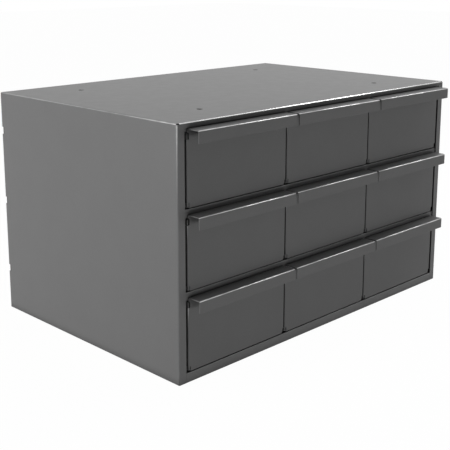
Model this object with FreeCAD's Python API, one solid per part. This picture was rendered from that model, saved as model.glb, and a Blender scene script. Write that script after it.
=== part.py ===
import FreeCAD, Part
import math
import os

from FreeCAD import Vector

# Nine-drawer steel case for drill bits and small parts.  Millimetres, +Z up, the fronts
# face -Y, and the origin is on the floor at the middle of the footprint, handles included.

# ---- driving dimensions: the case ----
case_width = 438.15
case_depth = 295.3
case_height = 254.0
case_sheet = 0.9
case_bend = 0.4                 # inside radius of the wrap's folds; the other folds are tight
rows = 3
columns = 3

stile_width = 9.2               # side walls folded in beside the drawers
stile_gap = 2.8                 # between a stile and the drawer front beside it
header_height = 5.4             # front edge of the top, folded down
bottom_rail_height = 9.6        # flush between the stiles
shelf_rail_height = 4.6         # behind the stiles
rail_lap = 3.6                  # header and rails go on down behind the drawer fronts
rail_seam = 0.1                 # between the bottom rail and a stile
corner_relief = 3.5             # open corner where the top and side folds meet

foot_width = 12.0               # side folds of the bottom pan, turned in along the floor
foot_setback = 8.0

back_recess = 0.3
back_top_flange = 10.0
rear_slot_height = 8.0          # slots in the side walls, open at the rear edge
rear_slot_depth = 3.4

shelf_rear_flange = 8.0
guide_foot = 14.0               # feet of the side guides on the side walls
guide_front_setback = 9.0
guide_rear_setback = 13.0
wall_tab_length = 12.0          # tabs of the partitions, through slots in the shelves
wall_tab_pitch = 95.0
wall_tab_stagger = 30.0
tab_clearance = 0.1

bead_width = 6.0                # pressed runners under each drawer
bead_crown = 4.0
bead_height = 1.0
bead_offset = 45.0
bead_end = 12.0

top_hole_radius = 3.25
top_hole_spacing_x = 288.9
top_hole_spacing_y = 196.85

clip_width = 18.0               # stops hung from the sheet above each drawer
clip_leg = 14.0
clip_setback = 40.0
clip_rim_clearance = 1.5

# ---- driving dimensions: the drawers ----
drawer_sheet = 0.9
side_clearance = 0.35           # between a drawer front and the partition beside it
front_top_gap = 0.5             # above each drawer front
closing_gap = 0.3               # between a closed drawer front and the rail behind it
runner_clearance = 0.3
rear_space = 8.35

handle_reach = 15.5
handle_lip = 12.0
handle_inset = 1.0              # the handle is narrower than the front at each end
handle_bend = 0.4
handle_root = 4.0               # full-width strip under the handle's top
corner_notch = 2.7
bottom_notch_height = 4.8
side_notch_height = 5.5
front_side_flange = 13.0
front_weld_flange = 12.0

rim_drop = 4.95                 # rim of the tray below the top of the handle
hem_height = 5.5
hem_setback = 4.0
stop_tab_width = 24.0
stop_tab_rise = 5.0

slot_first = 63.5               # divider slots, measured from the drawer's front face
slot_pitch = 50.8
slot_count = 4
slot_height = 20.0
slot_floor_gap = 22.0
slot_play = 0.15
divider_slot = 2
divider_rim_gap = 8.0
divider_foot = 10.0
divider_side_play = 0.3
divider_corner = 2.0

# ---- values that follow ----
case_bend_outer = case_bend + case_sheet
front_y = (handle_reach - case_depth) / 2
rear_y = front_y + case_depth
middle_y = (front_y + rear_y) / 2
side_x = case_width / 2
inner_x = side_x - case_sheet
rail_y = front_y + drawer_sheet + closing_gap
back_outer_y = rear_y - back_recess
back_inner_y = back_outer_y - case_sheet
guide_front_y = front_y + guide_front_setback
guide_rear_y = back_inner_y - guide_rear_setback

front_side_gap = case_sheet + 2 * side_clearance
front_width = (
    case_width - 2 * (stile_width + stile_gap) - (columns - 1) * front_side_gap
) / columns
column_pitch = front_width + front_side_gap
opening_height = (
    case_height - header_height - bottom_rail_height - (rows - 1) * shelf_rail_height
) / rows
row_pitch = opening_height + shelf_rail_height
floor_lift = runner_clearance + bead_height
front_height = opening_height - floor_lift - front_top_gap

tray_width = front_width - 2 * drawer_sheet
tray_height = front_height - rim_drop
tray_front_y = front_y + drawer_sheet
tray_rear_y = back_inner_y - rear_space
clip_rear_y = front_y + clip_setback

ROW_NAMES = ("bottom", "middle", "top")
COLUMN_NAMES = ("left", "center", "right")


def row_name(row):
    return ROW_NAMES[row] if rows == len(ROW_NAMES) else "row%d" % (row + 1)


def column_name(column):
    return COLUMN_NAMES[column] if columns == len(COLUMN_NAMES) else "column%d" % (column + 1)


def column_x(column):
    """Middle of a column of drawers."""
    return (column - (columns - 1) / 2) * column_pitch


def wall_x(line):
    """Middle of the partition or guide to the left of a column."""
    return column_x(line) - column_pitch / 2


def deck_z(row):
    """Top face of the sheet that a row of drawers runs on."""
    return bottom_rail_height + row * row_pitch


def ceiling_z(row):
    """Underside of the sheet above a row of drawers."""
    return case_height - case_sheet if row == rows - 1 else deck_z(row + 1) - case_sheet


def tray_z(row):
    """Underside of a drawer's floor and the bottom edge of its front."""
    return deck_z(row) + floor_lift


# ---- folded sheet ----
def to_space(axis, u, v, w):
    """A point of a section that is drawn square to the named axis."""
    return {"x": Vector(w, u, v), "y": Vector(u, w, v), "z": Vector(u, v, w)}[axis]


def direction(start, end):
    length = math.hypot(end[0] - start[0], end[1] - start[1])
    return (end[0] - start[0]) / length, (end[1] - start[1]) / length


def run_directions(path, index):
    """Directions of the path before and after one of its points."""
    last = len(path) - 1
    before = direction(path[max(index - 1, 0)], path[max(index, 1)])
    after = direction(path[min(index, last - 1)], path[min(index + 1, last)])
    return before, after


def shifted(path, distance):
    """The path moved to its left, with mitred corners."""
    moved = []
    for index, (u, v) in enumerate(path):
        before, after = run_directions(path, index)
        scale = distance / (1 + before[0] * after[0] + before[1] * after[1])
        moved.append((u - (before[1] + after[1]) * scale, v + (before[0] + after[0]) * scale))
    return moved


def rounded_run(path, radii, axis, w):
    """Edges along the path, with an arc of its own radius at each inner point, or a corner for 0."""
    edges = []
    pen = path[0]
    for index in range(1, len(path) - 1):
        before, after = run_directions(path, index)
        turn = math.acos(max(-1.0, min(1.0, before[0] * after[0] + before[1] * after[1])))
        radius, (u, v) = radii[index - 1], path[index]
        if radius == 0:
            edges += straight(pen, path[index], axis, w)
            pen = path[index]
            continue
        reach = radius * math.tan(turn / 2)
        begin = (u - before[0] * reach, v - before[1] * reach)
        finish = (u + after[0] * reach, v + after[1] * reach)
        inward = direction((0, 0), (after[0] - before[0], after[1] - before[1]))
        depth = radius / math.cos(turn / 2) - radius
        middle = (u + inward[0] * depth, v + inward[1] * depth)
        edges += straight(pen, begin, axis, w)
        edges.append(
            Part.Arc(*(to_space(axis, *point, w) for point in (begin, middle, finish))).toShape()
        )
        pen = finish
    return edges + straight(pen, path[-1], axis, w)


def straight(start, end, axis, w):
    """One straight edge, or none where two arcs meet."""
    if math.hypot(end[0] - start[0], end[1] - start[1]) < 1e-6:
        return []
    return [Part.LineSegment(to_space(axis, *start, w), to_space(axis, *end, w)).toShape()]


def fold(path, sheet, axis, start, end, inside=0):
    """A strip of sheet folded along a path that runs on one face, with the metal on its left.

    inside is the radius on the inside of every fold; a tight fold has 0 there, and the sheet's
    own thickness outside.
    """
    near, far = [], []
    for index in range(1, len(path) - 1):
        before, after = run_directions(path, index)
        left_turn = before[0] * after[1] - before[1] * after[0] > 0
        near.append(inside + (sheet if left_turn else 0))
        far.append(inside + (0 if left_turn else sheet))
    other = shifted(path, sheet)
    edges = rounded_run(path, near, axis, start)
    edges += straight(path[-1], other[-1], axis, start)
    edges += rounded_run(other[::-1], far[::-1], axis, start)
    edges += straight(other[0], path[0], axis, start)
    return Part.Face(Part.Wire(edges)).extrude(to_space(axis, 0, 0, end - start))


def block(x_range, y_range, z_range):
    """A box between pairs of limits, each pair in any order."""
    lows = [min(pair) for pair in (x_range, y_range, z_range)]
    highs = [max(pair) for pair in (x_range, y_range, z_range)]
    return Part.makeBox(*(high - low for low, high in zip(lows, highs)), Vector(*lows))


def join(pieces):
    return pieces[0].fuse(pieces[1:]).removeSplitter()


def remove(shape, cutters):
    return shape.cut(cutters).removeSplitter()


# ---- the case ----
def case_wrap():
    """Top and both sides from one sheet, with the stiles and the header folded in."""
    hoop = fold(
        [(side_x, 0), (side_x, case_height), (-side_x, case_height), (-side_x, 0)],
        case_sheet, "y", front_y + case_bend_outer, rear_y, case_bend,
    )
    return remove(join([hoop, header(), stile(-1), stile(1)]), top_holes() + rear_slots())


def header():
    """Front edge of the top: folded down flush between the stiles, then set back behind the drawers."""
    half, low = side_x - corner_relief, case_height - header_height
    face = [
        (front_y + 2 * case_bend_outer, case_height),
        (front_y, case_height),
        (front_y, low + case_sheet),
    ]
    set_back = [
        (front_y, low + 2 * case_sheet),
        (front_y, low),
        (rail_y, low),
        (rail_y, low - rail_lap),
    ]
    return fold(face, case_sheet, "x", -half, half, case_bend).fuse(
        fold(set_back, case_sheet, "x", -half, half)
    )


def stile(side):
    """Front edge of one side wall, folded in beside the drawers."""
    path = [
        (side * side_x, front_y + 2 * case_bend_outer),
        (side * side_x, front_y),
        (side * (side_x - stile_width), front_y),
    ]
    if side > 0:
        path.reverse()
    return fold(path, case_sheet, "z", 0, case_height - case_bend_outer, case_bend)


def top_holes():
    """Four clearance holes for bolting another case or a bracket to the top."""
    return [
        Part.makeCylinder(
            top_hole_radius,
            2 * case_sheet,
            Vector(
                i * top_hole_spacing_x / 2,
                middle_y + j * top_hole_spacing_y / 2,
                case_height - 1.5 * case_sheet,
            ),
        )
        for i in (-1, 1)
        for j in (-1, 1)
    ]


def rear_slots():
    """Slots in the rear edges of the side walls, one beside the middle of each drawer."""
    heights = [tray_z(row) + front_height / 2 for row in range(rows)]
    return [
        block(
            (side * (inner_x - case_sheet), side * (side_x + case_sheet)),
            (rear_y - rear_slot_depth, rear_y),
            (height - rear_slot_height / 2, height + rear_slot_height / 2),
        )
        for side in (-1, 1)
        for height in heights
    ]


def back_panel():
    """Flat back between the side walls, with its top edge folded forward under the top."""
    top = case_height - case_sheet
    panel = fold(
        [(back_outer_y, 0), (back_outer_y, top), (back_inner_y - back_top_flange, top)],
        case_sheet, "x", -inner_x, inner_x,
    )
    corners = [
        block(
            (side * inner_x, side * (inner_x - case_bend_outer)),
            (back_inner_y - back_top_flange, rear_y),
            (top - case_bend_outer, top),
        )
        for side in (-1, 1)
    ]
    return remove(panel, corners)


def sheet_with_flanges(z, front, front_flange, rear_flange):
    """Sheet from wall to wall and back to the back panel, with its front and rear edges folded down."""
    strip = fold(
        [
            (back_inner_y, z - rear_flange),
            (back_inner_y, z),
            (front, z),
            (front, z - front_flange),
        ],
        case_sheet, "x", -inner_x, inner_x,
    )
    corners = [
        block(
            (side * inner_x, side * (inner_x - case_bend_outer)),
            (front, rail_y + case_bend_outer),
            (z, z - front_flange),
        )
        for side in (-1, 1)
    ]
    return remove(strip, corners)


def runner_beads(z):
    """Pressed ribs, two under each drawer: the ridges on top and the grooves they leave below."""
    near, far = rail_y + bead_end, back_inner_y - bead_end
    ridges, grooves = [], []
    for column in range(columns):
        for side in (-1, 1):
            x = column_x(column) + side * bead_offset
            outline = [
                Vector(x + half, near, z + rise)
                for half, rise in (
                    (-bead_width / 2, 0),
                    (-bead_crown / 2, bead_height),
                    (bead_crown / 2, bead_height),
                    (bead_width / 2, 0),
                    (-bead_width / 2, 0),
                )
            ]
            ridge = Part.Face(Part.makePolygon(outline)).extrude(Vector(0, far - near, 0))
            ridges.append(ridge)
            grooves.append(ridge.translated(Vector(0, 0, -case_sheet)))
    return ridges, grooves


def wall_tab_places(upper):
    """Y of the tabs along one edge of a partition; the upper edge's tabs are staggered."""
    middle = (guide_front_y + guide_rear_y) / 2 + (wall_tab_stagger if upper else 0)
    return [middle + i * wall_tab_pitch for i in (-1, 0, 1)]


def wall_slots(z, row):
    """Slots for the tabs of the partitions that stand on this sheet and hang below it."""
    places = wall_tab_places(False) + (wall_tab_places(True) if row > 0 else [])
    half_width = case_sheet / 2 + tab_clearance
    half_length = wall_tab_length / 2 + tab_clearance
    return [
        block(
            (wall_x(line) - half_width, wall_x(line) + half_width),
            (y - half_length, y + half_length),
            (z, z - case_sheet),
        )
        for line in range(1, columns)
        for y in places
    ]


def bottom_pan():
    """Sheet under the bottom row: its front fold is the bottom rail, and its side folds are the feet."""
    z = bottom_rail_height
    lap = 2 * case_bend_outer
    edges, feet = [], []
    for side in (-1, 1):
        wall, rail_end = side * inner_x, side * (side_x - stile_width - rail_seam)
        edges.append(block((wall, rail_end), (front_y, rail_y), (0, z)))
        edges.append(block((wall, wall - side * case_bend_outer), (rail_y, rear_y), (0, z)))
        path = [(wall - side * foot_width, 0), (wall, 0), (wall, z), (wall - side * lap, z)]
        if side < 0:
            path.reverse()
        feet.append(fold(path, case_sheet, "y", front_y + foot_setback, rear_y - foot_setback))
    ridges, grooves = runner_beads(z)
    deck = sheet_with_flanges(z, front_y, z, z)
    pan = join([remove(deck, edges)] + feet + ridges)
    return remove(pan, grooves + wall_slots(z, 0))


def shelf(row):
    """Sheet under one of the upper rows: its front fold is the rail between two rows of drawers."""
    z = deck_z(row)
    ridges, grooves = runner_beads(z)
    sheet = sheet_with_flanges(z, rail_y, shelf_rail_height + rail_lap, shelf_rear_flange)
    plate = join([sheet] + ridges)
    return remove(plate, grooves + wall_slots(z, row))


def partition(line, row):
    """Upright sheet between two columns, tabbed through the sheets below and above it."""
    x_range = (wall_x(line) - case_sheet / 2, wall_x(line) + case_sheet / 2)
    low, high = deck_z(row), ceiling_z(row)
    pieces = [block(x_range, (guide_front_y, guide_rear_y), (low, high))]
    half = wall_tab_length / 2
    for y in wall_tab_places(False):
        pieces.append(block(x_range, (y - half, y + half), (low - case_sheet, low)))
    if row < rows - 1:
        for y in wall_tab_places(True):
            pieces.append(block(x_range, (y - half, y + half), (high, high + case_sheet)))
    return join(pieces)


def side_guide(side, row):
    """Lipped channel on a side wall, level with the partitions, that guides the outer drawers."""
    wall, web = side * inner_x, side * (abs(wall_x(0)) - case_sheet / 2)
    path = [
        (wall, guide_front_y + guide_foot),
        (wall, guide_front_y),
        (web, guide_front_y),
        (web, guide_rear_y),
        (wall, guide_rear_y),
        (wall, guide_rear_y - guide_foot),
    ]
    if side > 0:
        path.reverse()
    below_fold = case_bend if row == rows - 1 else 0
    return fold(path, case_sheet, "z", deck_z(row), ceiling_z(row) - below_fold)


def stop_clips():
    """Small angles spot-welded under the sheet above each drawer, one for each drawer."""
    clips = []
    for row in range(rows):
        roof = ceiling_z(row)
        drop = tray_z(row) + tray_height + clip_rim_clearance
        for column in range(columns):
            x = column_x(column)
            clips.append(
                fold(
                    [(clip_rear_y, drop), (clip_rear_y, roof), (clip_rear_y - clip_leg, roof)],
                    case_sheet, "x", x - clip_width / 2, x + clip_width / 2,
                )
            )
    return Part.makeCompound(clips)


# ---- the drawers ----
def drawer_tray(row, column):
    """Floor, sides and back of a drawer, with hemmed rims, a weld flange in front and a stop tab."""
    x, z, rim = column_x(column), tray_z(row), tray_z(row) + tray_height
    half, sheet = tray_width / 2, drawer_sheet
    left, right = x - half, x + half
    sides = fold(
        [(left, rim), (left, z), (right, z), (right, rim)], sheet, "y", tray_front_y, tray_rear_y
    )
    open_corners = [
        block((left, right), (tray_front_y, tray_front_y + sheet), (z, z + sheet)),
        block((left, right), (tray_rear_y, tray_rear_y - sheet), (z, z + sheet)),
    ]
    hems = [
        block(
            (wall + inward * sheet, wall + inward * 2 * sheet),
            (tray_front_y + hem_setback, tray_rear_y - hem_setback),
            (rim - hem_height, rim),
        )
        for wall, inward in ((left, 1), (right, -1))
    ]
    lap = 2 * sheet
    fold_ends = (left + sheet, right - sheet)
    back = fold(
        [(tray_rear_y - lap, z), (tray_rear_y, z), (tray_rear_y, rim)], sheet, "x", *fold_ends
    )
    weld_flange = fold(
        [(tray_front_y, z + front_weld_flange), (tray_front_y, z), (tray_front_y + lap, z)],
        sheet, "x", *fold_ends,
    )
    stop_tab = block(
        (x - stop_tab_width / 2, x + stop_tab_width / 2),
        (tray_rear_y - sheet, tray_rear_y),
        (rim, rim + stop_tab_rise),
    )
    body = join([remove(sides, open_corners), back, weld_flange, stop_tab] + hems)
    return remove(body, divider_slots(x, z))


def slot_y(index):
    """Middle of one pair of divider slots."""
    return front_y + slot_first + index * slot_pitch


def divider_slots(x, z):
    """Upright slots in both sides of a tray, into which a divider's tabs drop."""
    half_length = drawer_sheet / 2 + slot_play
    return [
        block(
            (x + side * (tray_width / 2 - 2 * drawer_sheet), x + side * (tray_width / 2 + drawer_sheet)),
            (slot_y(index) - half_length, slot_y(index) + half_length),
            (z + slot_floor_gap, z + slot_floor_gap + slot_height),
        )
        for side in (-1, 1)
        for index in range(slot_count)
    ]


def drawer_front(row, column):
    """Front of a drawer: its sides fold back over the tray, and its top folds out as the handle."""
    x, z = column_x(column), tray_z(row)
    half, sheet = front_width / 2, drawer_sheet
    top, back = z + front_height, front_y + front_side_flange
    face = fold(
        [(x - half, back), (x - half, front_y), (x + half, front_y), (x + half, back)],
        sheet, "z", z + bottom_notch_height, z + tray_height - side_notch_height,
    )
    grip = half - handle_inset
    handle = fold(
        [
            (front_y + sheet, z),
            (front_y + sheet, top),
            (front_y - handle_reach, top),
            (front_y - handle_reach, top - handle_lip),
        ],
        sheet, "x", x - grip, x + grip, handle_bend,
    )
    notches = [
        block(
            (x + side * (half - corner_notch), x + side * half),
            (front_y, front_y + sheet),
            (z, top - handle_root),
        )
        for side in (-1, 1)
    ]
    return join([remove(handle, notches), face])


def drawer_divider(row, column):
    """Movable divider: an upright with a folded foot, and a tab on each side in the tray's slots."""
    x, z = column_x(column), tray_z(row)
    sheet, floor = drawer_sheet, z + drawer_sheet
    half = tray_width / 2 - sheet - divider_side_play
    near, far = slot_y(divider_slot) - sheet / 2, slot_y(divider_slot) + sheet / 2
    plate = fold(
        [(near, z + tray_height - divider_rim_gap), (near, floor), (near + divider_foot, floor)],
        sheet, "x", x - half, x + half,
    )
    corners, tabs = [], []
    for side in (-1, 1):
        corners.append(
            block(
                (x + side * (half - divider_corner), x + side * half),
                (near, near + divider_foot),
                (floor, floor + divider_corner),
            )
        )
        tabs.append(
            block(
                (x + side * (half - sheet), x + side * tray_width / 2),
                (near, far),
                (z + slot_floor_gap + slot_play, z + slot_floor_gap + slot_height - slot_play),
            )
        )
    return join([remove(plate, corners)] + tabs)


# ---- one file for each piece ----
def write(name, shape):
    shape.exportStep("parts/%s.step" % name)


def write_case():
    write("case_wrap", case_wrap())
    write("back_panel", back_panel())
    write("bottom_pan", bottom_pan())
    write("drawer_stop_clips", stop_clips())
    for row in range(1, rows):
        write("shelf_under_%s_row" % row_name(row), shelf(row))
    for row in range(rows):
        for line in range(1, columns):
            write("partition_%s_row_%d" % (row_name(row), line), partition(line, row))
        for side, hand in ((-1, "left"), (1, "right")):
            write("side_guide_%s_row_%s" % (row_name(row), hand), side_guide(side, row))


def write_drawers():
    for row in range(rows):
        for column in range(columns):
            name = "drawer_%s_%s" % (row_name(row), column_name(column))
            write(name + "_tray", drawer_tray(row, column))
            write(name + "_front", drawer_front(row, column))
            write(name + "_divider", drawer_divider(row, column))


os.makedirs("parts", exist_ok=True)
write_case()
write_drawers()
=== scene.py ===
import math

import bpy
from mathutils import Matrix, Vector


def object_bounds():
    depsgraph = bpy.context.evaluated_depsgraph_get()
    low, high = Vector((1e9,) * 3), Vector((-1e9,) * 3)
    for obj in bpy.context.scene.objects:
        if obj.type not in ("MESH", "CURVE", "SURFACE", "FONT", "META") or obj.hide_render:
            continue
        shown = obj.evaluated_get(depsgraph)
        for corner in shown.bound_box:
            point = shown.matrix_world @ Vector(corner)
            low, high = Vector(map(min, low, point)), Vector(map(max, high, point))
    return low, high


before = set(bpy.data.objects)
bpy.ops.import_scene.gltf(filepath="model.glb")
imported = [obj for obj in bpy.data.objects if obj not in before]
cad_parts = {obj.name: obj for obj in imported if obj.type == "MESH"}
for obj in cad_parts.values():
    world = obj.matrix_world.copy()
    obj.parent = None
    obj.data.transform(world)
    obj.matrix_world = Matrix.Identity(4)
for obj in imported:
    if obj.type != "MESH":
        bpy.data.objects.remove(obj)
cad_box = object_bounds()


# ---- Case wrap ----
# One sheet of 20-gauge steel folded over the drawers as the top and both sides, with the front
# stiles and the header turned in and their corners ground flush. It is powder coated in satin
# grey, and its upper folds are painted paler, more metallic and smoother: partly coat worn by
# hands, partly a painted highlight where the light catches them.
MM = 0.001


def paint_nodes(name):
    """A new material, its node tree and its surface shader."""
    material = bpy.data.materials.new(name)
    material.use_nodes = True
    return material, material.node_tree, material.node_tree.nodes["Principled BSDF"]


def calc(tree, operation, *terms):
    """The result of a Math node over numbers and other nodes' values."""
    node = tree.nodes.new("ShaderNodeMath")
    node.operation = operation
    for socket, term in zip(node.inputs, terms):
        if isinstance(term, (int, float)):
            socket.default_value = term
        else:
            tree.links.new(term, socket)
    return node.outputs["Value"]


def ramp(tree, value, start, end, low, high):
    """A value carried over smoothly from the range start to end to the range low to high."""
    remap = tree.nodes.new("ShaderNodeMapRange")
    remap.interpolation_type = "SMOOTHSTEP"
    remap.inputs["From Min"].default_value = start
    remap.inputs["From Max"].default_value = end
    remap.inputs["To Min"].default_value = low
    remap.inputs["To Max"].default_value = high
    tree.links.new(value, remap.inputs["Value"])
    return remap.outputs["Result"]


def grain(tree, place, spacing, detail):
    """Noise in the piece's own space, with bumps about a spacing apart."""
    noise = tree.nodes.new("ShaderNodeTexNoise")
    noise.inputs["Scale"].default_value = 1 / spacing
    noise.inputs["Detail"].default_value = detail
    tree.links.new(place.outputs["Object"], noise.inputs["Vector"])
    return noise.outputs["Fac"]


# A fold shows in the largest part of a face's unit direction, which is near 1 on a flat face and
# less on the way round. How far it faces upward and forward says how much it gets of the painted
# highlight, set where the light catches the folds, and of the worn coat.
FLAT_FACE, ROUND_FOLD = 0.985, 0.87
UPRIGHT, UPWARD = 0.1, 0.4
FORWARD, SIDEWARD = -0.4, -0.1
UPRIGHT_FOLD_HIGHLIGHT_WEAR = 0.02
SIDE_FOLD_HIGHLIGHT_WEAR = 0.3


def fold_crest(tree, place):
    """1 on the folds between a top and a front face, which take a painted highlight and wear, and
    less on the others.
    """
    split = tree.nodes.new("ShaderNodeSeparateXYZ")
    tree.links.new(place.outputs["Normal"], split.inputs[0])
    sizes = [calc(tree, "ABSOLUTE", split.outputs[axis]) for axis in ("X", "Y", "Z")]
    largest = calc(tree, "MAXIMUM", calc(tree, "MAXIMUM", sizes[0], sizes[1]), sizes[2])
    turned = ramp(tree, largest, FLAT_FACE, ROUND_FOLD, 0.0, 1.0)
    upward = ramp(tree, split.outputs["Z"], UPRIGHT, UPWARD, UPRIGHT_FOLD_HIGHLIGHT_WEAR, 1.0)
    forward = ramp(tree, split.outputs["Y"], FORWARD, SIDEWARD, 1.0, SIDE_FOLD_HIGHLIGHT_WEAR)
    return calc(tree, "MULTIPLY", turned, calc(tree, "MULTIPLY", upward, forward))


# Painted shade: an ambient-occlusion node darkens the coat's colour in gaps, inside corners and
# under the handles.
PAINTED_SHADE_REACH = 12 * MM
PAINTED_SHADE_SAMPLES = 8
SHELTERED, OPEN = 0.1, 0.95
PAINTED_SHADE_DEPTH = 0.08


def painted_gap_shade(tree):
    """Painted shade: 1 in the open, falling where a gap or an inside corner leaves little room
    around the surface.
    """
    shelter = tree.nodes.new("ShaderNodeAmbientOcclusion")
    shelter.inputs["Distance"].default_value = PAINTED_SHADE_REACH
    shelter.samples = PAINTED_SHADE_SAMPLES
    return ramp(tree, shelter.outputs["AO"], SHELTERED, OPEN, PAINTED_SHADE_DEPTH, 1.0)


COAT_GREY = 0.11
SATIN_ROUGHNESS = 0.4
COAT_GLOSS = 0.3
COAT_IOR = 1.5

# How far apart the marks of each kind are, and by what share or how much they change the coat.
MOTTLE_SPACING, MOTTLE_SHARE = 35 * MM, 0.015
SPECK_SPACING, SPECK_SHARE = 0.9 * MM, 0.03
SHEEN_SPACING, SHEEN_CHANGE = 12 * MM, 0.01
PEEL_SPACING, PEEL_DEPTH, PEEL_STRENGTH = 1.6 * MM, 0.05 * MM, 0.12
MARK_RANGE = (0.3, 0.7)

# Along the upper folds, painted highlight and worn coat: its grey, how metallic and how much
# smoother it is, and its patches.
HIGHLIGHT_WEAR_GREY = 0.7
HIGHLIGHT_WEAR_METAL = 0.75
HIGHLIGHT_WEAR_POLISH = 0.15
PATCH_SPACING, PATCH_RANGE, LEAST_HIGHLIGHT_WEAR = 18 * MM, (0.35, 0.65), 0.6


def powder_coat(name, grey, roughness, highlight_wear=1.0, gloss=COAT_GLOSS, with_painted_shade=True):
    """Satin powder coat: faint mottling, orange peel, upper folds made paler as a painted
    highlight and worn coat, and painted shade in the gaps.
    """
    material, tree, shader = paint_nodes(name)
    place = tree.nodes.new("ShaderNodeTexCoord")

    mottling = grain(tree, place, MOTTLE_SPACING, detail=3)
    darker, lighter = (1 - MOTTLE_SHARE) * grey, (1 + MOTTLE_SHARE) * grey
    mottle = ramp(tree, mottling, *MARK_RANGE, darker, lighter)
    specks = grain(tree, place, SPECK_SPACING, detail=2)
    speck = ramp(tree, specks, *MARK_RANGE, -SPECK_SHARE * grey, SPECK_SHARE * grey)
    shade = calc(tree, "ADD", mottle, speck)
    # Painted shade: the coat's grey darkens in gaps, inside corners and under the handles.
    if with_painted_shade:
        shade = calc(tree, "MULTIPLY", shade, painted_gap_shade(tree))

    # Painted highlight and worn coat: the upper folds turn paler, metallic and smoother in
    # patches.
    patches = grain(tree, place, PATCH_SPACING, detail=4)
    patchy = ramp(tree, patches, *PATCH_RANGE, LEAST_HIGHLIGHT_WEAR * highlight_wear, highlight_wear)
    highlight_and_wear = calc(tree, "MINIMUM", calc(tree, "MULTIPLY", fold_crest(tree, place), patchy), 1)
    paler = calc(tree, "MULTIPLY", calc(tree, "SUBTRACT", HIGHLIGHT_WEAR_GREY, shade), highlight_and_wear)
    tone = calc(tree, "ADD", shade, paler)
    tint = tree.nodes.new("ShaderNodeCombineColor")
    for channel in ("Red", "Green", "Blue"):
        tree.links.new(tone, tint.inputs[channel])
    tree.links.new(tint.outputs["Color"], shader.inputs["Base Color"])
    tree.links.new(calc(tree, "MULTIPLY", highlight_and_wear, HIGHLIGHT_WEAR_METAL), shader.inputs["Metallic"])

    clouds = grain(tree, place, SHEEN_SPACING, detail=2)
    glossier, duller = roughness - SHEEN_CHANGE, roughness + SHEEN_CHANGE
    sheen = ramp(tree, clouds, *MARK_RANGE, glossier, duller)
    polish = calc(tree, "MULTIPLY", highlight_and_wear, HIGHLIGHT_WEAR_POLISH)
    tree.links.new(calc(tree, "SUBTRACT", sheen, polish), shader.inputs["Roughness"])
    peel = tree.nodes.new("ShaderNodeBump")
    peel.inputs["Strength"].default_value = PEEL_STRENGTH
    peel.inputs["Distance"].default_value = PEEL_DEPTH
    tree.links.new(grain(tree, place, PEEL_SPACING, detail=2), peel.inputs["Height"])
    tree.links.new(peel.outputs["Normal"], shader.inputs["Normal"])
    shader.inputs["IOR"].default_value = COAT_IOR
    shader.inputs["Specular IOR Level"].default_value = gloss
    return material


WELD_REACH = 0.005 * MM
SHARP_EDGE = math.radians(50)
COAT_ROUNDING = 0.22 * MM


def dress(node, material):
    """Gives a steel piece its paint, and softens its sheared edges as a baked coat does."""
    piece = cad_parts[node]
    for slot in piece.material_slots:
        slot.material = material
    weld = piece.modifiers.new("weld", "WELD")
    weld.merge_threshold = WELD_REACH
    soften = piece.modifiers.new("soft_edge", "BEVEL")
    soften.limit_method = "ANGLE"
    soften.angle_limit = SHARP_EDGE
    soften.width = COAT_ROUNDING
    soften.segments = 2
    soften.use_clamp_overlap = True
    soften.harden_normals = True


# The wrap's upper folds get the strongest painted highlight and wear.
CASE_HIGHLIGHT_WEAR = 1.3
case_coat = powder_coat("case_powder_coat", COAT_GREY, SATIN_ROUGHNESS, highlight_wear=CASE_HIGHLIGHT_WEAR)
dress("case_wrap", case_coat)


# ---- Back, bottom pan and shelves ----
# Flat sheets with folded edges, welded inside the wrap before it is painted. The front folds of
# the pan and the shelves are the rails between the drawers. They carry the same coat as the wrap,
# with little of its painted highlight and wear on the folds, since hands seldom reach them.
SHEET_HIGHLIGHT_WEAR = 0.2
sheet_coat = powder_coat("sheet_powder_coat", COAT_GREY, SATIN_ROUGHNESS, highlight_wear=SHEET_HIGHLIGHT_WEAR)
for sheet in ("back_panel", "bottom_pan", "shelf_under_middle_row", "shelf_under_top_row"):
    dress(sheet, sheet_coat)


# ---- Partitions, guides and stop clips ----
# Sheet uprights that keep the drawers apart, and small angles that stop them, also welded in.
# The coat is thinner and rougher this deep in the case, where the powder reaches less.
INNER_GREY = 0.9 * COAT_GREY
INNER_ROUGHNESS = 0.55
inner_coat = powder_coat("inner_powder_coat", INNER_GREY, INNER_ROUGHNESS, highlight_wear=SHEET_HIGHLIGHT_WEAR)
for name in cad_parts:
    if name.startswith(("partition", "side_guide", "drawer_stop")):
        dress(name, inner_coat)


# ---- Drawers ----
# Each is a folded tray with hemmed rims, and a front whose top edge is turned out as a handle.
# They are painted apart from the case in the same grey, inside and out, with their dividers, and
# the fronts are a little less glossy.
# The handle folds get less painted highlight and wear than the wrap's.
FRONT_HIGHLIGHT_WEAR = 0.75
FRONT_GLOSS = 0.18
front_coat = powder_coat(
    "drawer_front_powder_coat",
    COAT_GREY,
    SATIN_ROUGHNESS,
    highlight_wear=FRONT_HIGHLIGHT_WEAR,
    gloss=FRONT_GLOSS,
)
# The trays' coat has no painted shade in its gaps.
tray_coat = powder_coat("tray_powder_coat", COAT_GREY, SATIN_ROUGHNESS, with_painted_shade=False)
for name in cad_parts:
    if name.endswith("_front"):
        dress(name, front_coat)
    elif name.endswith(("_tray", "_divider")):
        dress(name, tray_coat)


# ---- Floor and backdrop ----
# A plain pale floor that the case stands on, lost in a white surround. Both are shown white to
# the camera and in reflections, and the surround itself lights the case only faintly.
FLOOR_REACH = 6.0
FLOOR_DROP = 0.2 * MM
FLOOR_GREY = 0.8
FLOOR_ROUGHNESS = 0.9
FLOOR_WHITE = 0.985
AMBIENT = 0.09
WHITE = (1, 1, 1, 1)

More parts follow.
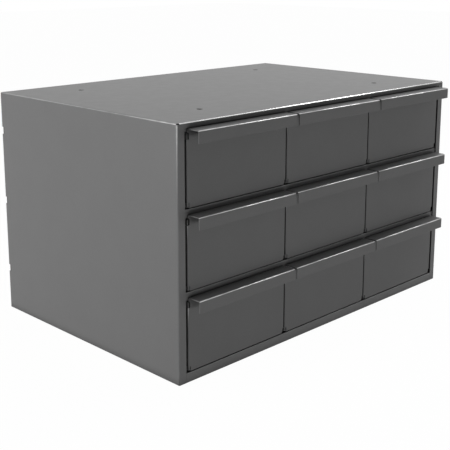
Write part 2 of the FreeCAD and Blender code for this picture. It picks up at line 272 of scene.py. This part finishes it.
floor_mesh = bpy.data.meshes.new("floor")
corners = [(-1, -1), (1, -1), (1, 1), (-1, 1)]
floor_mesh.from_pydata(
    [(x * FLOOR_REACH, y * FLOOR_REACH, -FLOOR_DROP) for x, y in corners], [], [(0, 1, 2, 3)]
)
floor = bpy.data.objects.new("floor", floor_mesh)
bpy.context.collection.objects.link(floor)


def showing(tree):
    """1 for the rays that show the surround itself: to the camera, in gloss and through glass."""
    rays = tree.nodes.new("ShaderNodeLightPath")
    seen = calc(tree, "MAXIMUM", rays.outputs["Is Camera Ray"], rays.outputs["Is Glossy Ray"])
    return calc(tree, "MAXIMUM", seen, rays.outputs["Is Transmission Ray"])


def floor_paint():
    """Pale matt floor, shown nearly white so that only the case's shadow marks it."""
    material, tree, shader = paint_nodes("pale_floor")
    shader.inputs["Base Color"].default_value = (FLOOR_GREY, FLOOR_GREY, FLOOR_GREY, 1)
    shader.inputs["Roughness"].default_value = FLOOR_ROUGHNESS
    shader.inputs["Specular IOR Level"].default_value = 0.0
    glow = tree.nodes.new("ShaderNodeEmission")
    blend = tree.nodes.new("ShaderNodeMixShader")
    tree.links.new(calc(tree, "MULTIPLY", showing(tree), FLOOR_WHITE), blend.inputs["Fac"])
    tree.links.new(shader.outputs["BSDF"], blend.inputs[1])
    tree.links.new(glow.outputs["Emission"], blend.inputs[2])
    tree.links.new(blend.outputs["Shader"], tree.nodes["Material Output"].inputs["Surface"])
    return material


def white_surround():
    """A world that shows white and gives the case only a little light of its own."""
    world = bpy.data.worlds.new("studio")
    world.use_nodes = True
    tree = world.node_tree
    faint = tree.nodes["Background"]
    faint.inputs["Strength"].default_value = AMBIENT
    faint.inputs["Color"].default_value = WHITE
    shown = tree.nodes.new("ShaderNodeBackground")
    shown.inputs["Color"].default_value = WHITE
    blend = tree.nodes.new("ShaderNodeMixShader")
    tree.links.new(showing(tree), blend.inputs["Fac"])
    tree.links.new(faint.outputs["Background"], blend.inputs[1])
    tree.links.new(shown.outputs["Background"], blend.inputs[2])
    tree.links.new(blend.outputs["Shader"], tree.nodes["World Output"].inputs["Surface"])
    return world


floor_mesh.materials.append(floor_paint())
bpy.context.scene.world = white_surround()


# ---- Lights ----
# Soft boxes round the case: the key over its right end, a broad one overhead, one along its left
# side, a small one in front of the drawers and a low strip that stands in for light thrown up by
# the floor.
low, high = cad_box
case_middle = (low + high) / 2


def soft_box(name, towards, distance, width, height, power):
    """An oblong lamp at a distance from the middle of the case, turned to face it."""
    lamp = bpy.data.lights.new(name, "AREA")
    lamp.shape = "RECTANGLE"
    lamp.size, lamp.size_y = width, height
    lamp.energy = power
    light = bpy.data.objects.new(name, lamp)
    way = Vector(towards).normalized()
    light.location = case_middle + way * distance
    light.rotation_mode = "QUATERNION"
    light.rotation_quaternion = way.to_track_quat("Z", "Y")
    light.visible_camera = False
    bpy.context.collection.objects.link(light)


soft_box("key", (0.72, -0.12, 0.68), distance=1.6, width=0.7, height=0.7, power=14)
soft_box("overhead", (0.1, 0.1, 1.0), distance=1.6, width=1.2, height=1.2, power=5)
soft_box("left_box", (-0.96, 0.26, 0.12), distance=1.6, width=0.8, height=0.8, power=20.5)
soft_box("front_box", (-0.38, -0.92, -0.09), distance=1.0, width=0.16, height=0.16, power=0.7)
soft_box("floor_strip", (-0.28, -0.95, -0.14), distance=0.75, width=0.6, height=0.08, power=1.05)


# ---- Camera ----
# Looks past the left front corner of the case from a little above. Its frame is shifted down a
# little, as on a view camera, so that the uprights lean less.
SENSOR = 36
IMAGE_PIXELS = 450
FOCAL_PIXELS = 922
SHIFT = 0.15
AZIMUTH, ELEVATION = math.radians(-44.80), math.radians(11.91)
CAMERA_PLACE = (-0.7638, -0.75015, 0.3956)

camera_data = bpy.data.cameras.new("camera")
camera_data.sensor_width = SENSOR
camera_data.lens = FOCAL_PIXELS / IMAGE_PIXELS * SENSOR
camera_data.shift_y = -SHIFT
camera_data.clip_start, camera_data.clip_end = 0.01, 50
camera = bpy.data.objects.new("camera", camera_data)
camera.location = CAMERA_PLACE
backwards = Vector(
    (
        math.sin(AZIMUTH) * math.cos(ELEVATION),
        -math.cos(AZIMUTH) * math.cos(ELEVATION),
        math.sin(ELEVATION),
    )
)
camera.rotation_mode = "QUATERNION"
camera.rotation_quaternion = backwards.to_track_quat("Z", "Y")
bpy.context.collection.objects.link(camera)
bpy.context.scene.camera = camera
bpy.context.scene.view_settings.view_transform = "Standard"
